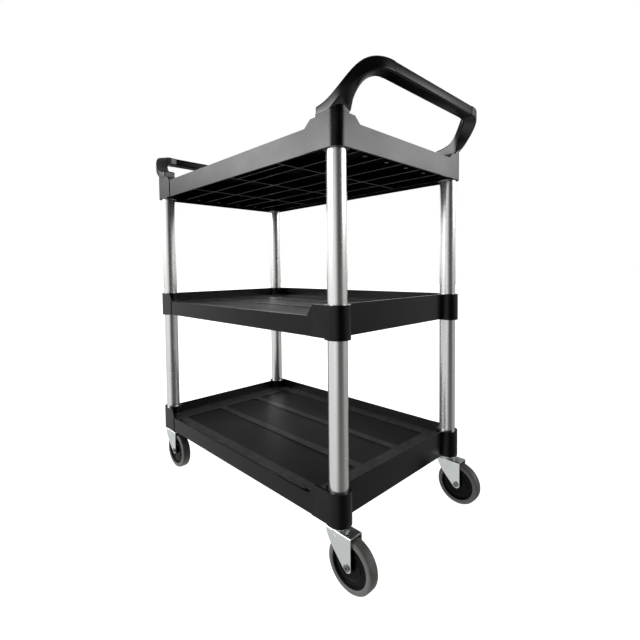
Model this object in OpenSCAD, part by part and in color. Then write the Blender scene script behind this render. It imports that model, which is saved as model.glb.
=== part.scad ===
// Rolling utility cart: three moulded trays on tube uprights, a push handle at
// each end and four swivel casters.
// +X is the right end, -Y the open front with the low lip, +Z is up.
// The origin is on the floor under the middle of the cart.

/* [Frame] */
// Width over the trays, front to back
overall_w = 473; // [430:1:560]
// Height from the floor to the top of the handles
overall_h = 959; // [880:1:1150]
// Distance between the left and right uprights, centre to centre
post_span = 678; // [560:1:820]
// Reach of each handle beyond its uprights, measured to the outer face
handle_reach = 88; // [80:1:110]
// Height of a handle above the seat it stands on
handle_rise = 86; // [80:1:110]

/* [Uprights] */
// Outside diameter of an upright tube
tube_d = 38.1; // [30:0.1:42]
// Wall of an upright tube
tube_wall = 2.4; // [1.5:0.1:3.5]
// Outside diameter of a corner collar
collar_d = 50; // [46:1:60]
// Depth of an upright in a tray collar
tube_seat = 30; // [20:1:30]

/* [Lower trays] */
// Height of a lower tray
tray_h = 65; // [58:1:90]
// Height of the deck above the underside of its tray
deck_rise = 39.5; // [35:0.5:50]
// Height of the front lip above the deck
lip_rise = 2.5; // [1:0.5:6]
// Distance of the skirt's lower edge above the collars' lower edge
skirt_lift = 3; // [1:0.5:8]
// Distance from an upright's centre out to the end face of the tray
end_offset = 1; // [0:0.5:6]
// Thickness of the skirts and rims
skirt_t = 4; // [3:0.5:6]
// Thickness of the decks
deck_t = 3.5; // [2.5:0.5:6]
// Distance that a skirt stands back from the corners
skirt_inset = 1.5; // [0:0.5:3]
// Distance from the middle of the tray to where the front lip starts to rise
lip_half = 281; // [200:1:300]
// Length of the slope at each end of the front lip
lip_ramp = 17; // [8:1:30]
// Width of a recessed deck panel
panel_w = 116; // [90:1:125]
// Distance between the middles of two deck panels
panel_pitch = 140; // [130:1:150]
// Distance from the end of a deck panel to the tray's end face
panel_end = 64; // [40:1:90]
// Depth of a deck panel
panel_depth = 1.5; // [0.5:0.5:2]
// Corner radius of a deck panel
panel_r = 18; // [5:1:30]
// Width of the drain slot at each end of the front lip
drain_l = 15; // [8:1:24]

/* [Top tray] */
// Height of the top tray's rim above its underside
top_rim_h = 47; // [40:1:60]
// Height of a raised corner above the underside
top_corner_h = 60; // [55:1:80]
// Distance of the top deck below the rim
top_deck_drop = 15; // [8:1:20]
// Distance from an upright's centre to the top tray's end face
top_end_offset = 25; // [22:1:30]
// Radius of the top tray's corners
top_corner_r = 22; // [10:1:24]
// Length of a raised corner along the front
corner_l = 67; // [60:1:90]
// Width of a raised corner along the end
corner_w = 49; // [44:1:60]
// Length of the slope beside a raised corner
corner_ramp = 15; // [5:1:30]
// Distance of the ribs above the underside
rib_lift = 7; // [3:1:12]

/* [Ribs] */
// Thickness of the ribs below the decks
rib_t = 3; // [2:0.5:5]
// Distance between two long ribs
rib_pitch_y = 75; // [60:1:85]
// Distance between two cross ribs
rib_pitch_x = 175; // [140:1:200]

/* [Handles] */
// Depth of the crossbar, inside to outside
bar_depth = 30; // [24:1:36]
// Height of the crossbar
bar_h = 22; // [18:1:28]
// Width of the two arms
arm_w = 34; // [28:1:40]
// Outer bend radius between an arm and the crossbar
bend_r = 80; // [60:1:100]
// Length of a handle foot
foot_l = 54; // [48:1:60]
// Height of a foot at its inner end
foot_h = 19; // [12:1:24]
// Length of the grip
grip_l = 304; // [200:1:310]
// Bevel along the edges of the arms and the grip
edge_cut = 3; // [1:0.5:4]
// Thickness of the grip around the crossbar's core
grip_t = 4; // [2:0.5:6]
// Diameter of a handle screw's shank
screw_d = 6; // [5:0.5:8]
// Length of a handle screw's shank
screw_l = 38; // [30:1:40]

/* [Casters] */
// Wheel diameter
wheel_d = 101.6; // [76:0.1:110]
// Height from the floor to the underside of the collars
caster_h = 115; // [105:1:140]
// Distance that the wheel trails behind the swivel axis
trail = 32; // [20:1:40]
// Width of the tyre
tyre_w = 25; // [18:1:26]
// Thickness of the tyre on the hub
tyre_t = 11.3; // [6:0.1:14]
// Rounding of the tyre's shoulders
shoulder_r = 5.5; // [2:0.5:5.5]
// Outside width of the fork
fork_w = 34; // [33:0.5:40]
// Thickness of the fork's sheet metal
fork_t = 2.5; // [2:0.1:3]
// Radius of the fork's rounded tips
fork_tip_r = 9; // [8:0.5:12]
// Diameter of the swivel stem
stem_d = 11.1; // [9:0.1:13]
// Length of the stem above the collar's underside
stem_l = 42; // [30:1:48]
// Length of the socket that holds the stem in an upright
socket_l = 46; // [34:1:60]
// Diameter of the upper raceway
race_d = 41; // [36:1:46]
// Diameter of the bearing balls
ball_d = 4.76; // [4:0.01:6]
// Number of bearing balls in a swivel
ball_count = 14; // [8:1:16]
// Diameter of the circle of bearing balls
ball_pcd = 29; // [26:1:32]
// Diameter of the axle bolt
axle_d = 8; // [6:0.5:10]
// Outside diameter of the axle sleeve
sleeve_d = 12; // [11.5:0.5:16]

/* [Clearances] */
// Radial clearance of a turning fit
running_fit = 0.06; // [0.02:0.01:0.1]
// Gap between parts that move past each other
moving_gap = 0.4; // [0.3:0.1:0.8]

/* [Hidden] */
$fn = 96;
overlap = 1;

// Places of the uprights: name, side along X, side along Y
CORNERS = [
    ["front_right", 1, -1], ["front_left", -1, -1],
    ["back_right", 1, 1], ["back_left", -1, 1]
];
ENDS = [["right", 1], ["left", -1]];
SINGLE_NODES = ["top_shelf", "middle_shelf", "bottom_shelf", "handle_screws"];
END_PIECES = ["handle", "grip"];
CORNER_PIECES = [
    "lower_upright", "upper_upright", "stem_socket", "swivel_stem", "upper_raceway",
    "race_balls", "fork", "axle_bolt", "axle_nut", "axle_sleeve", "wheel_hub", "tyre"
];

// Frame
post_x = post_span / 2;
post_y = (overall_w - collar_d) / 2;
half_w = overall_w / 2;
handle_x = post_x + handle_reach;

// Levels, from the floor up
bottom_z = caster_h;
top_z = overall_h - handle_rise - top_corner_h;
middle_z = (bottom_z + tray_h + top_z - tray_h) / 2;
seat_z = top_z + top_corner_h;

// Lower trays
end_x = post_x + end_offset;
collar_floor = 5;
drain_w = 10;
rib_drop = 14;

// Top tray
top_end_x = post_x + top_end_offset;
top_deck_z = top_z + top_rim_h - top_deck_drop;
top_socket = 38;
cap_t = 4;
screw_head_h = 4;
screw_head_d = 12;
screw_room = 6;
screw_z = top_z + top_socket;
end_boss_x = 36;
end_boss_d = 9;

// Handles
foot_x = top_end_x - foot_l;
bar_x = handle_x - bar_depth;
bar_z = overall_h - bar_h;
foot_top = seat_z + foot_h;
foot_lap = 4;
bend_x = handle_x - bend_r;
bend_y = half_w - bend_r;
curve_steps = 24;
bend_steps = 14;
arm_steps = 3;
// Controls of the arm's upper edge and of its lower edge outside and inside, in X and Z
upper_controls = [[bar_x - 19, foot_top + 6], [bar_x - 12, overall_h]];
outer_controls = [[bar_x - 13, foot_top + 11], [bar_x + 7, bar_z - 6]];
inner_controls = [[top_end_x + 0.5, seat_z + 20], [bar_x - 17, bar_z - 6]];

// Casters
wheel_r = wheel_d / 2;
hub_r = wheel_r - tyre_t;
race_gap = 2.7;
race_t = 3.8;
race_z = caster_h - race_t;
fork_top = race_z - race_gap;
ball_lift = 0.15;
ball_z = fork_top + race_gap / 2 + ball_lift;
fork_gap = fork_w - 2 * fork_t;
boss_w = fork_gap - 2 * moving_gap;
rivet_t = 3.4;
rivet_d = 18;
fork_back = 18;
fork_front = 24;
fork_cheek = [10, 30];
fork_edge = 9;
tip_angle = 37;
bolt_head_t = 2;
bolt_head_d = 13;
nut_t = 6;
nut_d = 14.5;

// A point on a cubic curve through a and d with the controls b and c
function bezier(a, b, c, d, t) =
    pow(1 - t, 3) * a + 3 * t * pow(1 - t, 2) * b + 3 * t * t * (1 - t) * c + pow(t, 3) * d;
function curve(a, b, c, d) = [for (i = [0:curve_steps]) bezier(a, b, c, d, i / curve_steps)];

// ---------- Helpers ----------

// Moves the children to one upright
module at_post(c) {
    translate([c[1] * post_x, c[2] * post_y, 0]) children();
}

module at_posts() {
    for (c = CORNERS) at_post(c) children();
}

// Mirrors the children, made for the front right corner, to every corner
module each_corner() {
    for (c = CORNERS)
        mirror([c[1] < 0 ? 1 : 0, 0, 0]) mirror([0, c[2] > 0 ? 1 : 0, 0]) children();
}

module tube(r, bore, h) {
    difference() {
        cylinder(r = r, h = h);
        translate([0, 0, -overlap]) cylinder(r = bore, h = h + 2 * overlap);
    }
}

// A centred rectangle with round corners
module round_rect(l, w, r) {
    square([l - 2 * r, w], center = true);
    square([l, w - 2 * r], center = true);
    for (x = [-1, 1]) for (y = [-1, 1])
        translate([x * (l / 2 - r), y * (w / 2 - r)]) circle(r = r);
}

// A slab between two levels
module slab(z0, z1) {
    translate([0, 0, z0]) linear_extrude(z1 - z0) children();
}

// Stands a side view, drawn in X and Z, across the width of the cart
module side_view(y0, y1) {
    translate([0, y1, 0]) rotate([90, 0, 0]) linear_extrude(y1 - y0) children();
}

// Stands an end view, drawn in Y and Z, along the cart
module end_view(x0, x1) {
    translate([x0, 0, 0]) rotate([90, 0, 90]) linear_extrude(x1 - x0) children();
}

// The ribs below a deck, within the given half sizes
module ribs(half_l, half_d, z0, z1) {
    count_y = floor((half_d - rib_t) / rib_pitch_y);
    count_x = floor((half_l - rib_t) / rib_pitch_x);
    slab(z0, z1) {
        for (i = [-count_y:count_y])
            translate([0, i * rib_pitch_y]) square([2 * half_l, rib_t], center = true);
        for (i = [-count_x:count_x])
            translate([i * rib_pitch_x, 0]) square([rib_t, 2 * half_d], center = true);
    }
}

// ---------- Lower trays ----------

module collar_circles() {
    for (c = CORNERS) translate([c[1] * post_x, c[2] * post_y]) circle(d = collar_d);
}

// The space inside the skirts, clear of the collars
module tray_inside() {
    difference() {
        square([2 * (end_x - skirt_t), 2 * (half_w - skirt_inset - skirt_t)], center = true);
        collar_circles();
    }
}

module deck_panels() {
    for (i = [-1:1])
        translate([0, i * panel_pitch]) round_rect(2 * (end_x - panel_end), panel_w, panel_r);
}

// What the low front lip leaves open, drawn in X and Z
module lip_view(z0) {
    lip_z = z0 + deck_rise + lip_rise;
    top = z0 + tray_h;
    polygon([
        [-lip_half, lip_z], [lip_half, lip_z],
        [lip_half + lip_ramp, top], [lip_half + lip_ramp, top + overlap],
        [-lip_half - lip_ramp, top + overlap], [-lip_half - lip_ramp, top]
    ]);
}

module drain_slots(z0) {
    for (x = [-1, 1])
        translate([
            x * (lip_half - drain_l), -half_w + skirt_inset + skirt_t + drain_w / 2, z0
        ])
            cube([drain_l, drain_w, 2 * tray_h], center = true);
}

// One moulded lower tray; its collars take a tube from above and, on the
// middle tray, one from below
module tray(z0, open_below) {
    deck_z = z0 + deck_rise;
    difference() {
        union() {
            slab(z0 + skirt_lift, z0 + tray_h) difference() {
                square([2 * end_x, overall_w - 2 * skirt_inset], center = true);
                tray_inside();
            }
            slab(z0 + skirt_lift, z0 + tray_h) skirt_corners();
            slab(deck_z - deck_t, deck_z) tray_inside();
            ribs(end_x - skirt_t, half_w - skirt_inset - skirt_t, z0 + rib_drop, deck_z - deck_t);
            slab(z0, z0 + tray_h) collar_circles();
        }
        side_view(-half_w - overlap, -half_w + skirt_inset + skirt_t + overlap) lip_view(z0);
        slab(deck_z - panel_depth, deck_z + overlap) deck_panels();
        drain_slots(z0);
        at_posts() tube_sockets(z0, open_below);
    }
}

// The thicker skirt beside each collar of the front and the back
module skirt_corners() {
    corner_x = lip_half + lip_ramp / 2;
    for (x = [-1, 1]) for (y = [-1, 1])
        translate([x * (corner_x + post_x) / 2, y * (half_w - skirt_t / 2)])
            square([post_x - corner_x, skirt_t], center = true);
}

module tube_sockets(z0, open_below) {
    upper_floor = open_below ? z0 + tray_h - tube_seat : z0 + collar_floor;
    slab(upper_floor, z0 + tray_h + overlap) circle(d = tube_d);
    if (open_below) slab(z0 - overlap, z0 + tube_seat) circle(d = tube_d);
    else slab(z0 - overlap, upper_floor + overlap) circle(d = stem_d);
}

module middle_shelf() {
    color([0.13, 0.13, 0.125]) tray(middle_z, true);
}

module bottom_shelf() {
    color([0.12, 0.12, 0.115]) tray(bottom_z, false);
}

// ---------- Top tray ----------

module top_outline(inset_l, inset_w) {
    round_rect(2 * (top_end_x - inset_l), overall_w - 2 * inset_w, top_corner_r);
}

// A raised corner of the top tray, with a slope on each side
module raised_corner(drop) {
    corner_x = top_end_x - corner_l;
    corner_y = half_w - corner_w;
    rim_z = top_z + top_rim_h;
    intersection() {
        slab(top_z, seat_z - drop) top_outline(drop, drop);
        side_view(-half_w, 0) polygon([
            [corner_x - corner_ramp, top_z], [corner_x - corner_ramp, rim_z],
            [corner_x, seat_z], [top_end_x, seat_z], [top_end_x, top_z]
        ]);
        end_view(0, top_end_x) polygon([
            [-corner_y + corner_ramp, top_z], [-corner_y + corner_ramp, rim_z],
            [-corner_y, seat_z], [-half_w, seat_z], [-half_w, top_z]
        ]);
    }
}

module top_shelf() {
    rim_z = top_z + top_rim_h;
    inner = skirt_inset + skirt_t;
    color([0.2, 0.2, 0.195]) difference() {
        union() {
            slab(top_z, rim_z) difference() {
                top_outline(0, skirt_inset);
                top_outline(skirt_t, inner);
            }
            slab(top_deck_z - deck_t, top_deck_z) top_outline(skirt_t, inner);
            intersection() {
                ribs(top_end_x - skirt_t, half_w - inner, top_z + rib_lift, top_deck_z - deck_t);
                slab(top_z, rim_z) top_outline(skirt_t, inner);
            }
            front_stiffener();
            end_bosses();
            each_corner() difference() {
                raised_corner(0);
                translate([0, 0, -cap_t]) raised_corner(cap_t);
            }
            at_posts() slab(top_z, seat_z - overlap) circle(d = collar_d - 2 * overlap);
        }
        at_posts() {
            slab(top_z - overlap, top_z + top_socket) circle(d = tube_d);
            slab(top_z, seat_z + overlap) circle(d = screw_d);
        }
    }
}

// The short extra rib half way from the last long rib to the front
module front_stiffener() {
    stiffener_y = (2 * rib_pitch_y + half_w) / 2;
    slab(top_z + rib_lift, top_deck_z - deck_t)
        translate([rib_pitch_x / 2, -stiffener_y]) square([rib_pitch_x, rib_t], center = true);
}

// Small round bosses beside the end skirts
module end_bosses() {
    for (x = [-1, 1]) for (i = [-1.5:1.5])
        translate([x * (top_end_x - end_boss_x), i * rib_pitch_y, top_z + rib_lift])
            cylinder(d = end_boss_d, h = top_deck_z - deck_t - top_z - rib_lift);
}

// ---------- Uprights ----------

module lower_upright() {
    start = bottom_z + collar_floor;
    color([0.78, 0.78, 0.75]) translate([0, 0, start])
        tube(tube_d / 2, tube_d / 2 - tube_wall, middle_z + tube_seat - start);
}

module upper_upright() {
    start = middle_z + tray_h - tube_seat;
    color([0.78, 0.78, 0.75]) translate([0, 0, start])
        tube(tube_d / 2, tube_d / 2 - tube_wall, top_z + top_socket - screw_room - start);
}

// ---------- Handles ----------

// Heights of the arm's upper edge and of its lower edge, outside and inside
upper_edge = curve(
    [foot_x, foot_top], upper_controls[0], upper_controls[1], [handle_x, overall_h]
);
outer_edge = concat(
    [[top_end_x - 2 * foot_lap, seat_z + foot_lap]],
    curve([top_end_x, foot_top - overlap], outer_controls[0], outer_controls[1], [handle_x, bar_z])
);
inner_edge = curve(
    [top_end_x, seat_z + overlap], inner_controls[0], inner_controls[1], [bar_x, bar_z]
);

// A plan point of the bend at an angle, set in from the outer face
function bend_point(a, depth, arm) =
    [bend_x + (bend_r - depth) * cos(a), -bend_y + (bend_r - arm) * sin(a)];

// Plan points of the front arm, outside and inside, from the foot to the crossbar
front_stations = concat(
    [for (i = [0:arm_steps - 1]) let (x = foot_x + (bend_x - foot_x) * i / arm_steps)
        [[x, -half_w], [x, -half_w + arm_w]]],
    [for (i = [0:bend_steps]) let (a = -90 + 90 * i / bend_steps)
        [bend_point(a, 0, 0), bend_point(a, bar_depth, arm_w)]]
);
stations = concat(front_stations, [for (i = [len(front_stations) - 1:-1:0])
    [for (p = front_stations[i]) [p.x, -p.y]]]);

// The bevelled section of the handle between an outer and an inner plan point
function section(o, n) =
    let (
        k = edge_cut / norm(n - o), top = lookup(o.x, upper_edge),
        low_o = lookup(o.x, outer_edge), low_n = lookup(n.x, inner_edge), fall = low_n - low_o
    ) [
        for (q = [
            [0, low_o + edge_cut], [k, low_o + k * fall], [1 - k, low_n - k * fall],
            [1, low_n + edge_cut], [1, top - edge_cut], [1 - k, top], [k, top],
            [0, top - edge_cut]
        ]) concat(o + q[0] * (n - o), q[1])
    ];

// The two arms and the crossbar as one band through all the sections
module handle_band() {
    sections = [for (s = stations) section(s[0], s[1])];
    size = len(sections[0]);
    last = len(sections) - 1;
    polyhedron(
        [for (s = sections) for (p = s) p],
        concat(
            [[for (k = [0:size - 1]) k]],
            [[for (k = [size - 1:-1:0]) last * size + k]],
            [for (i = [0:last - 1]) for (k = [0:size - 1]) for (t = [0, 1])
                let (a = i * size + k, b = i * size + (k + 1) % size)
                    t == 0 ? [a, b + size, b] : [a, a + size, b + size]]
        )
    );
}

// The feet as they stand on the tray's round corners
module feet_plan() {
    intersection() {
        top_outline(0, 0);
        difference() {
            translate([foot_x, -half_w]) square([foot_l, overall_w]);
            translate([0, -half_w + arm_w]) square([bend_x, overall_w - 2 * arm_w]);
            translate([bend_x, 0])
                square([2 * (bend_r - bar_depth), 2 * bend_y], center = true);
            for (s = [-1, 1]) translate([bend_x, s * bend_y])
                scale([(bend_r - bar_depth) / (bend_r - arm_w), 1]) circle(r = bend_r - arm_w);
        }
    }
}

module handle_body() {
    difference() {
        union() {
            handle_band();
            slab(seat_z, foot_top - overlap) feet_plan();
        }
        grip_block();
        for (s = [-1, 1]) translate([post_x, s * post_y, seat_z - overlap])
            cylinder(d = screw_d, h = overlap + screw_l - (seat_z - screw_z));
    }
    grip_core();
}

module grip_block() {
    translate([bar_x - overlap, -grip_l / 2, bar_z - overlap])
        cube([bar_depth + 2 * overlap, grip_l, bar_h + 2 * overlap]);
}

module grip_core() {
    translate([bar_x + grip_t, -grip_l / 2 - overlap, bar_z + grip_t])
        cube([bar_depth - 2 * grip_t, grip_l + 2 * overlap, bar_h - 2 * grip_t]);
}

module grip_shell() {
    cut = edge_cut;
    difference() {
        side_view(-grip_l / 2, grip_l / 2) polygon([
            [bar_x + cut, bar_z], [handle_x - cut, bar_z],
            [handle_x, bar_z + cut], [handle_x, overall_h - cut],
            [handle_x - cut, overall_h], [bar_x + cut, overall_h],
            [bar_x, overall_h - cut], [bar_x, bar_z + cut]
        ]);
        grip_core();
    }
}

module at_end(side) {
    mirror([side < 0 ? 1 : 0, 0, 0]) children();
}

module handle(side) {
    color([0.09, 0.09, 0.09]) at_end(side) handle_body();
}

module grip(side) {
    color([0.14, 0.14, 0.135]) at_end(side) grip_shell();
}

module handle_screws() {
    color("silver") at_posts() translate([0, 0, screw_z - screw_head_h]) {
        cylinder(d = screw_head_d, h = screw_head_h);
        cylinder(d = screw_d, h = screw_head_h + screw_l);
    }
}

// ---------- Casters, made about their own swivel axis ----------

module stem_socket() {
    color([0.25, 0.25, 0.25]) translate([0, 0, bottom_z + collar_floor])
        tube(tube_d / 2 - tube_wall, stem_d / 2, socket_l);
}

module swivel_stem() {
    rivet_top = fork_top - fork_t - moving_gap;
    color([0.75, 0.77, 0.76]) {
        translate([0, 0, rivet_top - rivet_t])
            cylinder(d = stem_d, h = caster_h + stem_l - rivet_top + rivet_t);
        translate([0, 0, rivet_top - rivet_t]) cylinder(d = rivet_d, h = rivet_t);
    }
}

module ball_track(clearance) {
    translate([0, 0, ball_z]) rotate_extrude()
        translate([ball_pcd / 2, 0]) circle(r = ball_d / 2 + clearance, $fn = 48);
}

module upper_raceway() {
    color([0.78, 0.8, 0.79]) difference() {
        translate([0, 0, race_z]) tube(race_d / 2, stem_d / 2, race_t);
        ball_track(moving_gap);
    }
}

module race_balls() {
    color("silver") for (i = [0:ball_count - 1])
        rotate(i * 360 / ball_count) translate([ball_pcd / 2, 0, ball_z])
            sphere(d = ball_d, $fn = 32);
}

// Side view of one fork leg, in X and Z, from the round tip to the top
module leg_view() {
    tangent = fork_tip_r * [cos(tip_angle), -sin(tip_angle)];
    polygon([
        [-fork_back, fork_top], [fork_front, fork_top],
        [trail + fork_tip_r, wheel_r], [trail, wheel_r - fork_tip_r / 2],
        [trail - tangent.x, wheel_r + tangent.y],
        [fork_cheek.x - fork_back, fork_top - fork_cheek.y], [-fork_back, fork_top - fork_edge]
    ]);
    translate([trail, wheel_r]) circle(r = fork_tip_r);
}

module fork() {
    color([0.72, 0.76, 0.75]) difference() {
        union() {
            for (s = [-1, 1])
                translate([0, s * (fork_w - fork_t) / 2, 0])
                    side_view(-fork_t / 2, fork_t / 2) leg_view();
            translate([-fork_back, -fork_w / 2, fork_top - fork_t])
                cube([fork_back + fork_front, fork_w, fork_t]);
        }
        translate([0, 0, fork_top - fork_t - overlap])
            cylinder(d = stem_d + 2 * running_fit, h = fork_t + 2 * overlap);
        ball_track(0);
        axle_line(fork_w + 2 * overlap) cylinder(d = axle_d, h = fork_w + 2 * overlap);
    }
}

// Puts the children on the wheel's axle, starting at half the length to the front
module axle_line(length) {
    translate([trail, -length / 2, wheel_r]) rotate([-90, 0, 0]) children();
}

module axle_bolt() {
    length = fork_w + 2 * bolt_head_t;
    color([0.7, 0.73, 0.72]) axle_line(length) difference() {
        union() {
            cylinder(d = axle_d, h = length + nut_t);
            cylinder(d = bolt_head_d, h = bolt_head_t);
        }
        translate([0, 0, -overlap]) cylinder(d = axle_d / 2, h = overlap + bolt_head_t);
    }
}

module axle_nut() {
    color([0.66, 0.68, 0.67]) axle_line(fork_w) translate([0, 0, fork_w]) difference() {
        cylinder(d = nut_d, h = nut_t, $fn = 6);
        translate([0, 0, -overlap]) cylinder(d = axle_d, h = nut_t + 2 * overlap);
    }
}

module axle_sleeve() {
    color("silver") axle_line(fork_gap) tube(sleeve_d / 2, axle_d / 2, fork_gap);
}

module wheel_hub() {
    rim_t = 3;
    boss_r = 11;
    web_t = 6;
    ring_r = 27;
    ring_w = 2;
    bore_r = sleeve_d / 2 + running_fit;
    color([0.06, 0.06, 0.06]) translate([trail, 0, wheel_r]) rotate([90, 0, 0])
        rotate_extrude() {
            translate([hub_r - rim_t, -tyre_w / 2 + 1]) square([rim_t, tyre_w - 2]);
            translate([bore_r, -web_t / 2]) square([hub_r - bore_r, web_t]);
            translate([bore_r, -boss_w / 2]) square([boss_r - bore_r, boss_w]);
            translate([ring_r, -web_t]) square([ring_w, 2 * web_t]);
        }
}

module tyre() {
    flat_w = tyre_w - 2 * shoulder_r;
    color([0.3, 0.29, 0.28]) translate([trail, 0, wheel_r]) rotate([90, 0, 0])
        rotate_extrude() {
            translate([hub_r, -tyre_w / 2]) square([tyre_t - shoulder_r, tyre_w]);
            translate([hub_r, -flat_w / 2]) square([tyre_t, flat_w]);
            for (s = [-1, 1]) translate([wheel_r - shoulder_r, s * flat_w / 2])
                circle(r = shoulder_r);
        }
}

// One piece of an upright or a caster, by name
module corner_piece(piece) {
    if (piece == "lower_upright") lower_upright();
    if (piece == "upper_upright") upper_upright();
    if (piece == "stem_socket") stem_socket();
    if (piece == "swivel_stem") swivel_stem();
    if (piece == "upper_raceway") upper_raceway();
    if (piece == "race_balls") race_balls();
    if (piece == "fork") fork();
    if (piece == "axle_bolt") axle_bolt();
    if (piece == "axle_nut") axle_nut();
    if (piece == "axle_sleeve") axle_sleeve();
    if (piece == "wheel_hub") wheel_hub();
    if (piece == "tyre") tyre();
}

// ---------- The cart ----------

top_shelf();
middle_shelf();
bottom_shelf();
handle_screws();
for (e = ENDS) {
    handle(e[1]);
    grip(e[1]);
}
for (c = CORNERS) for (p = CORNER_PIECES)
    at_post(c) corner_piece(p);
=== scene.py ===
"""Looks of a rolling utility cart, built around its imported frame.

Every length is in metres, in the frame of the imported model: +X is the right end,
-Y the open front with the low lip, +Z is up and the floor is at zero.
"""
import logging
import math
from dataclasses import dataclass, field
from enum import Enum
from typing import Any, Mapping, Sequence, Union

import bmesh
import bpy
from mathutils import Matrix, Vector


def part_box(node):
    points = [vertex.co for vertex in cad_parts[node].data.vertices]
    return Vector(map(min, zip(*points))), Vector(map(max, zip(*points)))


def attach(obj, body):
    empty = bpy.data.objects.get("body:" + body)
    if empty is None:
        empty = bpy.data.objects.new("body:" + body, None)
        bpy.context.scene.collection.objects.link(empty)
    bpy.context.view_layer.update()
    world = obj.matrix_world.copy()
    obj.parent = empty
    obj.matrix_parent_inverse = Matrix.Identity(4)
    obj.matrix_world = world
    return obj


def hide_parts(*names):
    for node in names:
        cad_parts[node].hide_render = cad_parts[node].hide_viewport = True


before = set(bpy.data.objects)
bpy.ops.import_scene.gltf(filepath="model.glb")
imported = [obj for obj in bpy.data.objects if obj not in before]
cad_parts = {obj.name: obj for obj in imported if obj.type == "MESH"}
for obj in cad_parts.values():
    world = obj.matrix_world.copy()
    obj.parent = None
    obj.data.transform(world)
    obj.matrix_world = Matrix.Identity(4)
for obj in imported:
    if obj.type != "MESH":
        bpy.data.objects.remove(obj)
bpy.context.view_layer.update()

LOG = logging.getLogger("cart")
MM = 0.001

Number = Union[int, float]
Colour = tuple[float, float, float]
Point = tuple[float, float, float]
Pair = tuple[float, float]
Stops = tuple[Pair, ...]

WHITE: Colour = (1.0, 1.0, 1.0)
EDGE_STEPS = 2


# ---------- named options


class Corner(Enum):
    """A corner of the cart: its name, its side along X and its side along Y."""

    FRONT_RIGHT = ("front_right", 1, -1)
    FRONT_LEFT = ("front_left", -1, -1)
    BACK_RIGHT = ("back_right", 1, 1)
    BACK_LEFT = ("back_left", -1, 1)

    @property
    def label(self) -> str:
        """The corner's name, as the nodes and bodies end."""
        return self.value[0]


class End(Enum):
    """An end of the cart: its name and its side along X."""

    RIGHT = ("right", 1)
    LEFT = ("left", -1)

    @property
    def label(self) -> str:
        """The end's name, as the nodes end."""
        return self.value[0]

    @property
    def side(self) -> int:
        """1 at the right end and -1 at the left."""
        return self.value[1]


# ---------- shader graph


class Signal:
    """An output socket of a shader node, on which Python's operators add Math nodes."""

    def __init__(self, graph: "Graph", socket: bpy.types.NodeSocket) -> None:
        """Keeps the graph that new nodes go into and the socket itself."""
        self.graph = graph
        self.socket = socket

    def __add__(self, other: "Value") -> "Signal":
        """Sum."""
        return self.graph.math("ADD", self, other)

    def __radd__(self, other: "Value") -> "Signal":
        """Sum, with the signal on the right."""
        return self.graph.math("ADD", other, self)

    def __sub__(self, other: "Value") -> "Signal":
        """Difference."""
        return self.graph.math("SUBTRACT", self, other)

    def __rsub__(self, other: "Value") -> "Signal":
        """Difference, with the signal on the right."""
        return self.graph.math("SUBTRACT", other, self)

    def __mul__(self, other: "Value") -> "Signal":
        """Product."""
        return self.graph.math("MULTIPLY", self, other)

    def __rmul__(self, other: "Value") -> "Signal":
        """Product, with the signal on the right."""
        return self.graph.math("MULTIPLY", other, self)

    def smooth(self, low: Number, high: Number) -> "Signal":
        """Smooth step from 0 at low to 1 at high.

        Args:
            low: value at which the step starts.
            high: value at which it ends.

        Returns:
            The stepped signal.
        """
        return self.graph.node(
            "ShaderNodeMapRange",
            {"interpolation_type": "SMOOTHSTEP"},
            {"Value": self, "From Min": low, "From Max": high},
        )

    def band(self, middle: Number, half: Number, soft: Number) -> "Signal":
        """A mask that is 1 within a distance of a value and falls to 0 beyond it.

        Args:
            middle: the value.
            half: the distance.
            soft: width of the fall.

        Returns:
            The mask.
        """
        away = self.graph.math("ABSOLUTE", self - middle, 0.0)
        return 1 - away.smooth(half, half + soft)


Value = Union[Signal, Number]


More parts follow.
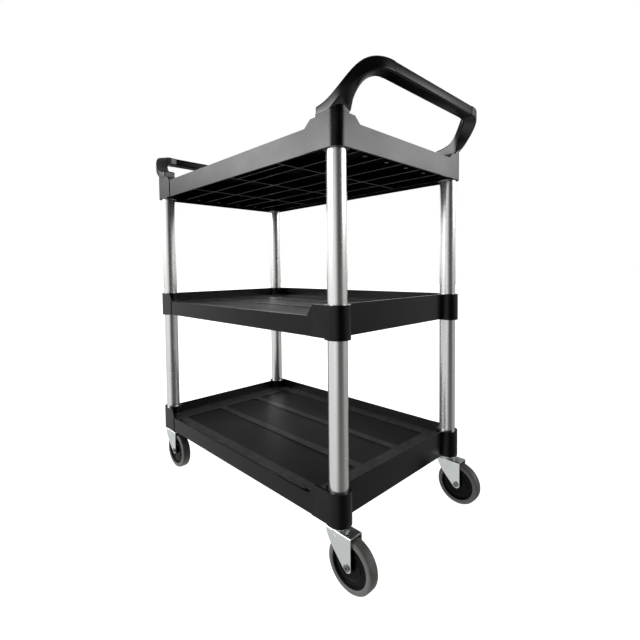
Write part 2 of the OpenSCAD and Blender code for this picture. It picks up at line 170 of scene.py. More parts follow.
class Graph:
    """The node tree of one material or of the world."""

    def __init__(self, tree: bpy.types.NodeTree) -> None:
        """Empties the tree and keeps it."""
        self.tree = tree
        tree.nodes.clear()

    @staticmethod
    def _socket(sockets: Any, key: Union[str, int]) -> bpy.types.NodeSocket:
        """Finds a socket by its place, its identifier or its name."""
        if isinstance(key, int):
            return sockets[key]
        for socket in sockets:
            if socket.identifier == key:
                return socket
        return sockets[key]

    def node(
        self,
        kind: str,
        settings: Mapping[str, Any] | None = None,
        inputs: Mapping[Union[str, int], Any] | None = None,
        output: Union[str, int] = 0,
    ) -> Signal:
        """Adds a node.

        Args:
            kind: the node's type.
            settings: its properties, with a ramp's stops as "stops".
            inputs: values or signals for its input sockets.
            output: the output socket that is wanted.

        Returns:
            The signal of that output.
        """
        made = self.tree.nodes.new(kind)
        for key, value in (settings or {}).items():
            if key == "stops":
                self._set_stops(made.color_ramp, value)
            else:
                setattr(made, key, value)
        for key, value in (inputs or {}).items():
            self._feed(self._socket(made.inputs, key), value)
        return Signal(self, self._socket(made.outputs, output) if made.outputs else None)

    def _feed(self, socket: bpy.types.NodeSocket, value: Any) -> None:
        """Links a signal to a socket or sets the socket's own value."""
        if isinstance(value, Signal):
            self.tree.links.new(value.socket, socket)
        elif socket.type == "RGBA" and len(value) == 3:
            socket.default_value = (*value, 1.0)
        else:
            socket.default_value = value

    @staticmethod
    def _set_stops(ramp: bpy.types.ColorRamp, stops: Sequence[tuple[float, Colour]]) -> None:
        """Writes a ramp's stops."""
        while len(ramp.elements) < len(stops):
            ramp.elements.new(1.0)
        for element, (place, colour) in zip(ramp.elements, stops):
            element.position = place
            element.color = (*colour, 1.0)

    def math(self, operation: str, a: Value, b: Value) -> Signal:
        """Adds a Math node.

        Args:
            operation: the node's operation.
            a: first value.
            b: second value.

        Returns:
            The result.
        """
        return self.node("ShaderNodeMath", {"operation": operation}, {0: a, 1: b})

    def place(self, scale: Point = (1.0, 1.0, 1.0)) -> Signal:
        """The surface's place in its object, stretched by a scale.

        Args:
            scale: factor for each axis.

        Returns:
            The vector.
        """
        here = self.node("ShaderNodeTexCoord", output="Object")
        return self.node(
            "ShaderNodeVectorMath", {"operation": "MULTIPLY"}, {0: here, 1: scale}
        )

    def noise(
        self, size: float, detail: float = 3.0, stretch: Point = (1.0, 1.0, 1.0), rough: float = 0.5
    ) -> Signal:
        """Noise with features of about the given size.

        Args:
            size: size of the features in metres.
            detail: number of finer layers.
            stretch: factor for each axis, below 1 for longer features.
            rough: weight of the finer layers.

        Returns:
            The noise, about 0.5 in the middle.
        """
        return self.node(
            "ShaderNodeTexNoise",
            {"noise_dimensions": "3D"},
            {
                "Vector": self.place(stretch),
                "Scale": 1.0 / size,
                "Detail": detail,
                "Roughness": rough,
            },
        )

    def blend(self, share: Value, a: Any, b: Any) -> Signal:
        """Mixes two colours.

        Args:
            share: 0 for the first colour and 1 for the second.
            a: first colour or signal.
            b: second colour or signal.

        Returns:
            The mixed colour.
        """
        return self.node(
            "ShaderNodeMix",
            {"data_type": "RGBA", "clamp_factor": True},
            {"Factor_Float": share, "A_Color": a, "B_Color": b},
            "Result_Color",
        )

    def edges(self, low: float, high: float) -> Signal:
        """A mask of the worn outer edges.

        Args:
            low: pointiness at which wear starts.
            high: pointiness at which it is full.

        Returns:
            The mask.
        """
        return self.node("ShaderNodeNewGeometry", output="Pointiness").smooth(low, high)

    def bump(self, height: Signal, depth: float, strength: float = 1.0) -> Signal:
        """Turns a height into a normal.

        Args:
            height: the height, 0 to 1.
            depth: what a height of 1 stands for, in metres.
            strength: strength of the effect.

        Returns:
            The normal.
        """
        return self.node(
            "ShaderNodeBump", None, {"Height": height, "Distance": depth, "Strength": strength},
            "Normal",
        )

    def surface(self, **sockets: Any) -> None:
        """Ends the graph in a Principled shader.

        Args:
            **sockets: values or signals, by socket name with _ for a space.
        """
        named = {key.replace("_", " "): value for key, value in sockets.items()}
        shader = self.node("ShaderNodeBsdfPrincipled", None, named)
        self.node("ShaderNodeOutputMaterial", None, {"Surface": shader})


def material(name: str) -> tuple[bpy.types.Material, Graph]:
    """Makes an empty material.

    Args:
        name: its name.

    Returns:
        The material and its graph.
    """
    made = bpy.data.materials.new(name)
    made.use_nodes = True
    return made, Graph(made.node_tree)


# ---------- finishes


@dataclass(frozen=True)
class MouldedPlastic:
    """Black moulding with a fine grain, cloudy gloss, light scuffs and paler edges."""

    name: str
    dark: Colour
    pale: Colour
    roughness: float
    grain_size: float = 0.9 * MM
    grain_depth: float = 0.02 * MM
    scuff: float = 0.25
    specular: float = 0.28
    cloud_size: float = 0.11
    scratch_size: float = 0.012
    wear_size: float = 0.03
    wear_share: float = 0.3
    cloud_gloss: float = 0.16
    grain_gloss: float = 0.08

    def build(self) -> bpy.types.Material:
        """Makes the material."""
        made, graph = material(self.name)
        grain = graph.noise(self.grain_size, 2.0, rough=0.6)
        cloud = graph.noise(self.cloud_size, 4.0, (1.0, 1.0, 1.6))
        scratches = graph.noise(self.scratch_size, 4.0, (0.25, 1.0, 1.0), 0.7).smooth(0.6, 0.78)
        wear = graph.edges(0.54, 0.64) * graph.noise(self.wear_size, 5.0).smooth(0.35, 0.7)
        tone = graph.blend(cloud.smooth(0.3, 0.75), self.dark, self.pale)
        dust = tuple(0.5 * c + 0.04 for c in self.pale)
        marks = scratches * (0.12 * self.scuff) + wear * self.wear_share
        tone = graph.blend(marks, tone, dust)
        tone, dull = self.tone(graph, tone)
        gloss = (cloud - 0.5) * self.cloud_gloss + (grain - 0.5) * self.grain_gloss
        gloss = gloss + scratches * (0.1 * self.scuff)
        graph.surface(
            Base_Color=tone,
            Roughness=gloss + dull + self.roughness,
            Specular_IOR_Level=self.specular,
            Normal=graph.bump(grain, self.grain_depth, 0.7),
        )
        return made

    def tone(self, graph: Graph, base: Signal) -> tuple[Signal, Value]:
        """The finished tone; kinds of moulding with paler or duller places add them here.

        Args:
            graph: the material's graph.
            base: the tone so far.

        Returns:
            The finished tone and what the duller places add to the roughness.
        """
        return base, 0.0


@dataclass(frozen=True)
class TrayPlastic(MouldedPlastic):
    """Tray moulding with paler lands, painted highlights on its rib edges and corner blocks, and
    duller decks.
    """

    # paler tone for the lands, which are scuffed, and for the corner blocks, where it is a painted
    # highlight
    scuffed: Colour = (0.07, 0.07, 0.068)
    # painted highlight tone, laid on the rib edges of the trays
    rubbed: Colour = (0.10, 0.10, 0.098)
    deck_levels: tuple[float, ...] = (503.5 * MM, 154.5 * MM)
    panel_half_l: float = 276 * MM
    panel_pitch: float = 140 * MM
    panel_half_w: float = 58 * MM
    rib_level: float = 820 * MM
    inside: Pair = (334 * MM, 229 * MM)
    corner: Pair = (295 * MM, 228 * MM)
    soft: float = 1.5 * MM
    deck_band: float = 3 * MM
    rib_band: Pair = (0.5 * MM, 0.2 * MM)
    deck_dull: float = 0.2

    def tone(self, graph: Graph, base: Signal) -> tuple[Signal, Value]:
        """Adds the paler lands and the painted highlights on rib edges and corner blocks to the
        tone of the moulding, and dulls its decks.

        Args:
            graph: the material's graph.
            base: the tone so far.

        Returns:
            The finished tone and what the decks add to the roughness.
        """
        here = graph.node("ShaderNodeTexCoord", output="Object")
        x, y, z = (graph.node("ShaderNodeSeparateXYZ", None, {0: here}, axis) for axis in "XYZ")
        x, y = (graph.math("ABSOLUTE", v, 0.0) for v in (x, y))
        soft = self.soft
        panels = y.band(0.0, self.panel_half_w, soft) + y.band(
            self.panel_pitch, self.panel_half_w, soft
        )
        panels = panels * x.band(0.0, self.panel_half_l, soft)
        deck = sum((z.band(level, self.deck_band, soft) for level in self.deck_levels), 0.0)
        cloud = graph.noise(0.03, 5.0).smooth(0.2, 0.75)
        inside = x.band(0.0, self.inside[0], soft) * y.band(0.0, self.inside[1], soft)
        lands = deck * inside * (1 - panels) * (cloud * 0.5 + 0.5)
        # painted highlight: a pale band along the lower edges of the ribs, where rounded edges
        # would catch the light
        edges = z.band(self.rib_level, *self.rib_band) * inside * (cloud * 0.7 + 0.3)
        # painted highlight: the corner blocks, whose surface turns towards the light, are painted a
        # little paler
        blocks = x.smooth(self.corner[0], self.corner[0] + soft) * y.smooth(
            self.corner[1], self.corner[1] + soft
        )
        tone = graph.blend(lands + blocks * cloud * 0.1, base, self.scuffed)
        # the rib band takes the painted highlight tone
        return graph.blend(edges, tone, self.rubbed), deck * inside * self.deck_dull


@dataclass(frozen=True)
class DrawnAluminium:
    """Satin anodised tube with faint draw lines along its length and handling marks."""

    name: str = "satin_aluminium"
    colour: Colour = (0.92, 0.92, 0.90)
    roughness: float = 0.24
    metallic: float = 0.92
    line_size: float = 1.1 * MM
    line_depth: float = 0.004 * MM
    mark_size: float = 0.05
    spot_size: float = 0.006

    def build(self) -> bpy.types.Material:
        """Makes the material."""
        made, graph = material(self.name)
        lines = graph.noise(self.line_size, 3.0, (1.0, 1.0, 0.012), 0.65)
        marks = graph.noise(self.mark_size, 5.0, (1.0, 1.0, 0.5))
        spots = graph.noise(self.spot_size, 3.0, (1.0, 1.0, 0.6)).smooth(0.68, 0.8)
        darker = tuple(0.88 * c for c in self.colour)
        tone = graph.blend(marks.smooth(0.35, 0.8) * 0.5 + spots * 0.3, self.colour, darker)
        rough = (lines - 0.5) * 0.12 + (marks - 0.5) * 0.12 + spots * 0.06 + self.roughness
        graph.surface(
            Base_Color=tone,
            Metallic=self.metallic,
            Roughness=rough,
            Normal=graph.bump(lines, self.line_depth, 0.5),
        )
        return made


@dataclass(frozen=True)
class ZincPlate:
    """Bright zinc on pressed steel: cloudy, a little blue, with fine press marks."""

    name: str
    colour: Colour = (0.82, 0.87, 0.86)
    warm: Colour = (0.78, 0.79, 0.74)
    roughness: float = 0.3
    bright: Colour = (0.82, 0.83, 0.82)
    cloud_size: float = 0.018
    fine_size: float = 0.8 * MM
    fine_depth: float = 0.03 * MM

    def build(self) -> bpy.types.Material:
        """Makes the material."""
        made, graph = material(self.name)
        cloud = graph.noise(self.cloud_size, 4.0)
        fine = graph.noise(self.fine_size, 4.0, (1.0, 1.0, 0.35), 0.6)
        worn = graph.edges(0.53, 0.62) * graph.noise(0.01, 3.0).smooth(0.4, 0.6)
        tone = graph.blend(cloud.smooth(0.42, 0.75), self.colour, self.warm)
        tone = graph.blend(worn * 0.5, tone, self.bright)
        rough = (cloud - 0.5) * 0.25 + (fine - 0.5) * 0.15 + self.roughness
        graph.surface(
            Base_Color=tone,
            Metallic=1.0,
            Roughness=rough,
            Normal=graph.bump(fine, self.fine_depth, 0.6),
        )
        return made


@dataclass(frozen=True)
class TyreRubber:
    """Warm grey wheel rubber, dusty in places, with a painted highlight on its side walls."""

    name: str = "grey_rubber"
    colour: Colour = (0.085, 0.08, 0.073)
    dusty: Colour = (0.14, 0.133, 0.12)
    # painted highlight tone for the side walls
    rubbed: Colour = (0.165, 0.162, 0.152)
    roughness: float = 0.55
    grain_size: float = 0.7 * MM
    grain_depth: float = 0.06 * MM
    dirt_size: float = 0.014

    def build(self) -> bpy.types.Material:
        """Makes the material."""
        made, graph = material(self.name)
        grain = graph.noise(self.grain_size, 3.0)
        dirt = graph.noise(self.dirt_size, 5.0)
        tone = graph.blend(dirt.smooth(0.4, 0.8), self.colour, self.dusty)
        tone = graph.blend(grain.smooth(0.55, 0.8) * 0.25, tone, self.dusty)
        # painted highlight: the side walls are painted paler, standing in for the light they catch
        facing = graph.node("ShaderNodeTexCoord", output="Normal")
        across = graph.node("ShaderNodeSeparateXYZ", None, {0: facing}, "Y")
        walls = graph.math("ABSOLUTE", across, 0.0).smooth(0.45, 0.8)
        tone = graph.blend(walls * (dirt * 0.6 + 0.5), tone, self.rubbed)
        graph.surface(
            Base_Color=tone,
            Roughness=(dirt - 0.5) * 0.2 + (grain - 0.5) * 0.1 + self.roughness,
            Normal=graph.bump(grain, self.grain_depth, 0.6),
        )
        return made


def made_by(kind: Any) -> Any:
    """A field that holds the material which a kind of finish builds."""
    return field(default_factory=kind.build)


@dataclass
class Finishes:
    """All the finishes of the cart, one material each."""

    tray: bpy.types.Material = made_by(TrayPlastic(
        "black_tray_moulding", (0.0013, 0.0013, 0.0013), (0.0028, 0.0028, 0.0027), 0.24
    ))
    handle: bpy.types.Material = made_by(MouldedPlastic(
        "black_handle_moulding", (0.0012, 0.0012, 0.0012), (0.0025, 0.0025, 0.0024), 0.17,
        grain_depth=0.004 * MM,
    ))
    grip: bpy.types.Material = made_by(MouldedPlastic(
        "soft_grip_moulding", (0.002, 0.002, 0.0019), (0.0045, 0.0045, 0.0043), 0.32,
        grain_size=0.7 * MM, grain_depth=0.008 * MM, specular=0.2,
    ))
    insert: bpy.types.Material = made_by(MouldedPlastic(
        "grey_insert_moulding", (0.05, 0.05, 0.05), (0.07, 0.07, 0.07), 0.5
    ))
    hub: bpy.types.Material = made_by(MouldedPlastic(
        "black_hub_moulding", (0.001, 0.001, 0.001), (0.0025, 0.0025, 0.0025), 0.3,
        grain_size=0.6 * MM, grain_depth=0.01 * MM, specular=0.12,
    ))
    aluminium: bpy.types.Material = made_by(DrawnAluminium())
    zinc: bpy.types.Material = made_by(ZincPlate("zinc_plated_sheet"))
    steel: bpy.types.Material = made_by(
        ZincPlate("plated_steel", (0.58, 0.60, 0.60), (0.60, 0.58, 0.52), 0.26)
    )
    # painted shade: a darker steel for the axle bolts, standing in for the shade in their recesses
    dark_steel: bpy.types.Material = made_by(
        ZincPlate("dark_steel", (0.22, 0.22, 0.22), (0.27, 0.26, 0.24), 0.34)
    )
    rubber: bpy.types.Material = made_by(TyreRubber())


# ---------- mesh work


def new_object(name: str, mesh: bpy.types.Mesh, finish: bpy.types.Material) -> bpy.types.Object:
    """Puts a mesh into the scene with one material.

    Args:
        name: the object's name.
        mesh: its mesh.
        finish: its material.

    Returns:
        The object.
    """
    mesh.materials.clear()
    mesh.materials.append(finish)
    made = bpy.data.objects.new(name, mesh)
    bpy.context.scene.collection.objects.link(made)
    return made


class Shell:
    """Collects faces and turns them into one smooth mesh."""

    def __init__(self) -> None:
        """Starts with nothing."""
        self.verts: list[Vector] = []
        self.faces: list[list[int]] = []

    def loft(self, rings: Sequence[Sequence[Vector]], loop: bool = False) -> None:
        """Joins closed rings of equal length into a skin.

        Args:
            rings: the rings in order.
            loop: whether the last ring joins the first; if not, both are closed with a face.
        """
        start = len(self.verts)
        size = len(rings[0])
        for ring in rings:
            self.verts.extend(Vector(p) for p in ring)
        for i in range(len(rings) - 1):
            self._band(start + i * size, start + (i + 1) * size, size)
        if loop:
            self._band(start + (len(rings) - 1) * size, start, size)
        else:
            last = start + (len(rings) - 1) * size
            self.faces.append([start + k for k in range(size)][::-1])
            self.faces.append([last + k for k in range(size)])

    def _band(self, a: int, b: int, size: int) -> None:
        """Adds the faces between two rings that start at a and b."""
        for k in range(size):
            n = (k + 1) % size
            self.faces.append([a + k, a + n, b + n, b + k])

    def mesh(self, name: str, smooth_angle: float = 35.0) -> bpy.types.Mesh:
        """Makes the mesh.

        Args:
            name: its name.
            smooth_angle: edges sharper than this, in degrees, stay sharp.

        Returns:
            The mesh, with its faces turned outwards.
        """
        made = bpy.data.meshes.new(name)
        made.from_pydata([tuple(v) for v in self.verts], [], self.faces)
        work = bmesh.new()
        work.from_mesh(made)
        bmesh.ops.remove_doubles(work, verts=work.verts, dist=0.002 * MM)
        bmesh.ops.recalc_face_normals(work, faces=work.faces)
        for face in work.faces:
            face.smooth = True
        limit = math.radians(smooth_angle)
        for edge in work.edges:
            edge.smooth = len(edge.link_faces) == 2 and edge.calc_face_angle(0.0) < limit
        work.to_mesh(made)
        work.free()
        return made


def soften(piece: bpy.types.Object, width: float, angle: float = 35.0) -> None:
    """Rounds the sharp edges of a piece.

    Args:
        piece: the object.
        width: width of the rounding.
        angle: edges sharper than this, in degrees, are rounded.
    """
    bevel = piece.modifiers.new("round_edges", "BEVEL")
    bevel.width = width
    bevel.segments = EDGE_STEPS
    bevel.limit_method = "ANGLE"
    bevel.angle_limit = math.radians(angle)
    bevel.use_clamp_overlap = True
    bevel.harden_normals = True
    bevel.miter_outer = "MITER_ARC"
    normals = piece.modifiers.new("face_weights", "WEIGHTED_NORMAL")
    normals.keep_sharp = True


def arc(
    cx: float, cy: float, r: float, start: float, end: float, steps: int
) -> list[Pair]:
    """Points on an arc.

    Args:
        cx: first coordinate of the centre.
        cy: second coordinate of the centre.
        r: radius.
        start: first angle in degrees.
        end: last angle in degrees.
        steps: number of stretches.

    Returns:
        The points, the ends included.
    """
    found = []
    for i in range(steps + 1):
        a = math.radians(start + (end - start) * i / steps)
        found.append((cx + r * math.cos(a), cy + r * math.sin(a)))
    return found


def lathe_rings(
    profile: Sequence[Pair], centre: Vector, axis: Vector, steps: int
) -> list[list[Vector]]:
    """Turns a closed profile about an axis.

    Args:
        profile: points of radius and height along the axis.
        centre: a point on the axis, at height zero.
        axis: direction of the axis.
        steps: number of stretches round it.

    Returns:
        The rings for a loft that loops.
    """
    along = axis.normalized()
    side = along.orthogonal().normalized()
    other = along.cross(side)
    rings = []
    for i in range(steps):
        a = 2 * math.pi * i / steps
        out = side * math.cos(a) + other * math.sin(a)
        rings.append([centre + out * r + along * h for r, h in profile])
    return rings


@dataclass(frozen=True)
class Curve:
    """A cubic curve in X and Z, read as a height at a given X."""

    a: Pair
    b: Pair
    c: Pair
    d: Pair
    steps: int = 64

    def point(self, t: float) -> Pair:
        """The point at share t of the curve."""
        weights = ((1 - t) ** 3, 3 * t * (1 - t) ** 2, 3 * t * t * (1 - t), t**3)
        corners = (self.a, self.b, self.c, self.d)
        x = sum(w * p[0] for w, p in zip(weights, corners))
        z = sum(w * p[1] for w, p in zip(weights, corners))
        return x, z

    def height(self, x: float) -> float:
        """The height at x, level beyond both ends."""
        last = self.point(0.0)
        if x <= last[0]:
            return last[1]
        for i in range(1, self.steps + 1):
            here = self.point(i / self.steps)
            if x <= here[0]:
                share = (x - last[0]) / max(here[0] - last[0], 1e-9)
                return last[1] + share * (here[1] - last[1])
            last = here
        return last[1]


# ---------- trays and uprights


@dataclass
class Trays:
    """The three mouldings, kept as the frame has them, with rounded edges."""

    finishes: Finishes
    edge: float = 0.5 * MM
    names: tuple[str, ...] = ("top_shelf", "middle_shelf", "bottom_shelf")
    slot_x: float = 266 * MM
    slot_edge: float = 231 * MM
    slot_w: float = 10 * MM
    shield_half: float = 22 * MM
    shield_t: float = 2 * MM
    shield_z: Pair = (14.5 * MM, 36.2 * MM)
    shield_edge: float = 0.4 * MM

    def dress(self) -> None:
        """Rounds the edges of each tray, gives it its finish, and shields the drain slots of the
        middle and bottom trays.
        """
        for name in self.names:
            dress_node(name, self.finishes.tray, self.edge)
            LOG.info("%s: moulded tray", name)
        for name in self.names[1:]:
            self._shields(name)

    def _shields(self, name: str) -> None:
        """Makes the small walls below a tray's drain slots, each with an end towards the skirt."""
        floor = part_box(name)[0].z
        shell = Shell()
        for side in (1, -1):
            ends = [self.slot_x + k * self.shield_half for k in (-1, 1)]
            y_in = self.slot_w - self.slot_edge + self.shield_t
            y_out = -self.slot_edge + 0.4 * self.slot_w
            x0, x1, t = *ends, self.shield_t
            plan = [
                (x0, y_in), (x0, y_out), (x0 + t, y_out), (x0 + t, y_in - t),
                (x1 - t, y_in - t), (x1 - t, y_out), (x1, y_out), (x1, y_in),
            ]
            shell.loft([
                [Vector((side * x, y, floor + z)) for x, y in plan] for z in self.shield_z
            ])
        label = f"drain_shields_{name}"
        piece = new_object(label, shell.mesh(label), self.finishes.tray)
        soften(piece, self.shield_edge)
        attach(piece, "root")
        LOG.info("%s: shields below its drain slots", name)


@dataclass
class Uprights:
    """The aluminium tubes and what sits inside them."""

    finishes: Finishes
    edge: float = 0.4 * MM

    def dress(self) -> None:
        """Gives the tubes, stem sockets and handle screws their finishes."""
        for corner in Corner:
            for kind in ("lower_upright", "upper_upright"):
                dress_node(f"{kind}_{corner.label}", self.finishes.aluminium, self.edge)
            dress_node(f"stem_socket_{corner.label}", self.finishes.insert, self.edge)
            LOG.info("uprights at %s", corner.label)
        dress_node("handle_screws", self.finishes.steel, self.edge)


def dress_node(name: str, finish: bpy.types.Material, edge: float) -> None:
    """Gives a node of the frame its finish and softly rounded edges.

    Args:
        name: the node.
        finish: its material.
        edge: width of the rounding.
    """
    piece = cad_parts[name]
    piece.data.materials.clear()
    piece.data.materials.append(finish)
    for polygon in piece.data.polygons:
        polygon.material_index = 0
    weld = piece.modifiers.new("weld", "WELD")
    weld.merge_threshold = 0.005 * MM
    soften(piece, edge)
    for polygon in piece.data.polygons:
        polygon.use_smooth = True


# ---------- handles


@dataclass
class Handle:
    """A push handle: two feet, two arms that sweep up and out, and a crossbar with its grip."""

    end: End
    finishes: Finishes
    bend: float = 80 * MM
    arm_w: float = 34 * MM
    bar_depth: float = 30 * MM
    bar_h: float = 22 * MM
    corner_r: float = 22 * MM
    edge: float = 3.5 * MM
    bend_steps: int = 18
    arm_steps: int = 8
    foot_h: float = 19 * MM
    foot_inset: float = 0.25 * MM
    foot_roof: Pair = (5 * MM, 4 * MM)
    core_wall: float = 4 * MM
    core_past: float = 2 * MM
    grip_inset: float = 0.5 * MM
    seam: float = 0.7 * MM
    body_edge: float = 0.8 * MM
    foot_rounds: Stops = ((0, 3.0), (1, 1.2), (2, 0.3), (3, 0.0))
    round_share: float = 0.012
    arm_start: float = 0.036

    def __post_init__(self) -> None:
        """Reads the places from the frame."""
        lo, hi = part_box(f"handle_{self.end.label}")
        self.half_w = hi.y
        self.seat, self.top = lo.z, hi.z
        self.reach = max(abs(lo.x), abs(hi.x))
        self.foot_x = min(abs(lo.x), abs(hi.x))
        self.shelf_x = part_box("top_shelf")[1].x
        bar_x = self.reach - self.bar_depth
        foot_z = self.seat + self.foot_h
        self.upper = Curve(
            (self.foot_x, foot_z), (bar_x - 19 * MM, foot_z + 6 * MM),
            (bar_x - 12 * MM, self.top), (self.reach, self.top),
        )
        bar_z = self.top - self.bar_h
        self.lower = Curve(
            (self.shelf_x - 24 * MM, self.seat + 1 * MM),
            (self.shelf_x + 6 * MM, foot_z - 2 * MM),
            (bar_x + 7 * MM, bar_z - 6 * MM), (self.reach, bar_z),
        )
        self.inner = Curve(
            (self.shelf_x, self.seat + 1 * MM), (self.shelf_x + 0.5 * MM, self.seat + 20 * MM),
            (bar_x - 17 * MM, bar_z - 6 * MM), (bar_x, bar_z),
        )

    def _flip(self, point: Vector) -> Vector:
        """Moves a point made for the right end to this end."""
        return Vector((point.x * self.end.side, point.y, point.z))

    def _plan(self, share: float, inner: bool) -> Vector:
        """A point of the arm's plan at the front, from the foot at 0 to the crossbar at 1."""
        along = self.bend - (self.bar_depth if inner else 0.0)
        across = self.bend - (self.arm_w if inner else 0.0)
        cx = self.reach - self.bend
        cy = self.half_w - self.bend
        if share < 0.5:
            return Vector((self.foot_x + (cx - self.foot_x) * share * 2, -(cy + across), 0.0))
        a = math.radians(-90 + 180 * (share - 0.5))
        return Vector((cx + along * math.cos(a), -cy + across * math.sin(a), 0.0))

    def _section(self, outer: Vector, inner: Vector, shrink: float = 0.0) -> list[Vector]:
        """A closed section of the arm between two plan points, with round corners.

        Args:
            outer: plan point on the outer face.
            inner: plan point on the inner face.
            shrink: how far the section is drawn in, for round ends.

        Returns:
            The ring of points.
        """
        w = (inner - outer).length
        r = self.edge
        quarter = arc(0.0, 0.0, r, 0, 90, 4)
        across = [r + (w - 2 * r) * k / 4 for k in range(1, 4)]
        side = [(r - a, r - b) for a, b in quarter] + [(u, 0.0) for u in across]
        side += [(w - r + a, r - b) for a, b in reversed(quarter)]
        low_out = max(self.lower.height(outer.x), self.seat)
        low_in = max(self.inner.height(inner.x), self.seat)
        top = self.upper.height(outer.x) - shrink
        found = []
        for u, rise in side:
            spot = outer.lerp(inner, (u + shrink * (1 - 2 * u / w)) / w)
            spot.z = low_out + (low_in - low_out) * u / w + rise + shrink * 0.2
            found.append(spot)
        for u, rise in reversed(side):
            spot = outer.lerp(inner, (u + shrink * (1 - 2 * u / w)) / w)
            spot.z = top - rise
            found.append(spot)
        return found

    def _arm(self) -> list[list[Vector]]:
        """The sections of the front arm, from the foot to the start of the grip."""
        stations = [(self.round_share * i, shrink * MM) for i, shrink in self.foot_rounds]
        start = self.arm_start
        for i in range(1, self.arm_steps + 1):
            stations.append((start + (0.5 - start) * i / self.arm_steps, 0.0))
        for i in range(1, self.bend_steps + 1):
            stations.append((0.5 + 0.5 * i / self.bend_steps, 0.0))
        rings = [
            self._section(self._plan(share, False), self._plan(share, True), shrink)
            for share, shrink in stations
        ]
        grip_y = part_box(f"grip_{self.end.label}")[0].y
        outer, inner = self._plan(1.0, False), self._plan(1.0, True)
        outer.y = inner.y = grip_y
        rings.append(self._section(outer, inner))
        return rings

    def _foot(self) -> list[list[Vector]]:
        """The block below the front arm, with the round corner of the tray."""
        inset = self.foot_inset
        y_out = self.half_w - inset
        y_in = self.half_w - self.arm_w + inset
        x0 = self.foot_x + inset
        x1 = self.shelf_x
        r = self.corner_r
        outline = [(x0, -y_in), (x0, -y_out)]
        outline += arc(x1 - r, -(y_out - r), r, -90, 0, 10)
        outline += [(x1, -y_in)]
        above, below = self.foot_roof
        base = [Vector((x, y, self.seat)) for x, y in outline]
        roof = [
            Vector((x, y, min(self.lower.height(x) + above, self.upper.height(x) - below)))
            for x, y in outline
        ]
        return [base, roof]

    def _core(self) -> list[list[Vector]]:
        """The crossbar's core inside the grip."""
        lo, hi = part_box(f"grip_{self.end.label}")
        wall = self.core_wall
        x0 = self.reach - self.bar_depth + wall
        x1 = self.reach - wall
        z0, z1 = self.top - self.bar_h + wall, self.top - wall
        return [
            [Vector((x, y, z)) for x, z in ((x0, z0), (x1, z0), (x1, z1), (x0, z1))]
            for y in (lo.y - self.core_past, hi.y + self.core_past)
        ]

    def build(self) -> None:
        """Makes the handle and its grip and lets them ride with the frame."""
        shell = Shell()
        for part in (self._arm(), self._foot()):
            for side in (1, -1):
                shell.loft([
                    [self._flip(Vector((p.x, p.y * side, p.z))) for p in ring] for ring in part
                ])
        shell.loft([[self._flip(p) for p in ring] for ring in self._core()])
        label = self.end.label
        name = f"handle_body_{label}"
        body = new_object(name, shell.mesh(name), self.finishes.handle)
        soften(body, self.body_edge, 50.0)
        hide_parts(f"handle_{label}")
        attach(body, "root")
        self._grip()
        LOG.info("handle at the %s end", label)

    def _grip(self) -> None:
        """Makes the grip: a rounded sleeve with a fine seam at each end."""
        label = self.end.label
        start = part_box(f"grip_{label}")[0].y
        inset = self.grip_inset
        x0, x1 = self.reach - self.bar_depth + inset, self.reach - inset
        z0, z1 = self.top - self.bar_h + inset, self.top - inset
        r = self.edge
        outline = arc(x0 + r, z0 + r, r, 180, 270, 5) + arc(x1 - r, z0 + r, r, 270, 360, 5)
        outline += arc(x1 - r, z1 - r, r, 0, 90, 5) + arc(x0 + r, z1 - r, r, 90, 180, 5)
        seam = self.seam
        stations = [
            (start + seam, 1.2 * MM), (start + 1.4 * seam, 0.3 * MM), (start + 2.4 * seam, 0.0)
        ]
        full = stations + [(-y, sink) for y, sink in reversed(stations)]
        rings = []
        cx, cz = (x0 + x1) / 2, (z0 + z1) / 2
        for y, sink in full:
            kx, kz = 1 - 2 * sink / (x1 - x0), 1 - 2 * sink / (z1 - z0)
            rings.append([
                self._flip(Vector((cx + (x - cx) * kx, y, cz + (z - cz) * kz)))
                for x, z in outline
            ])
        shell = Shell()
        shell.loft(rings)
        name = f"grip_cover_{label}"
        grip = new_object(name, shell.mesh(name, 50.0), self.finishes.grip)
        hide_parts(f"grip_{label}")
        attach(grip, "root")


# ---------- casters


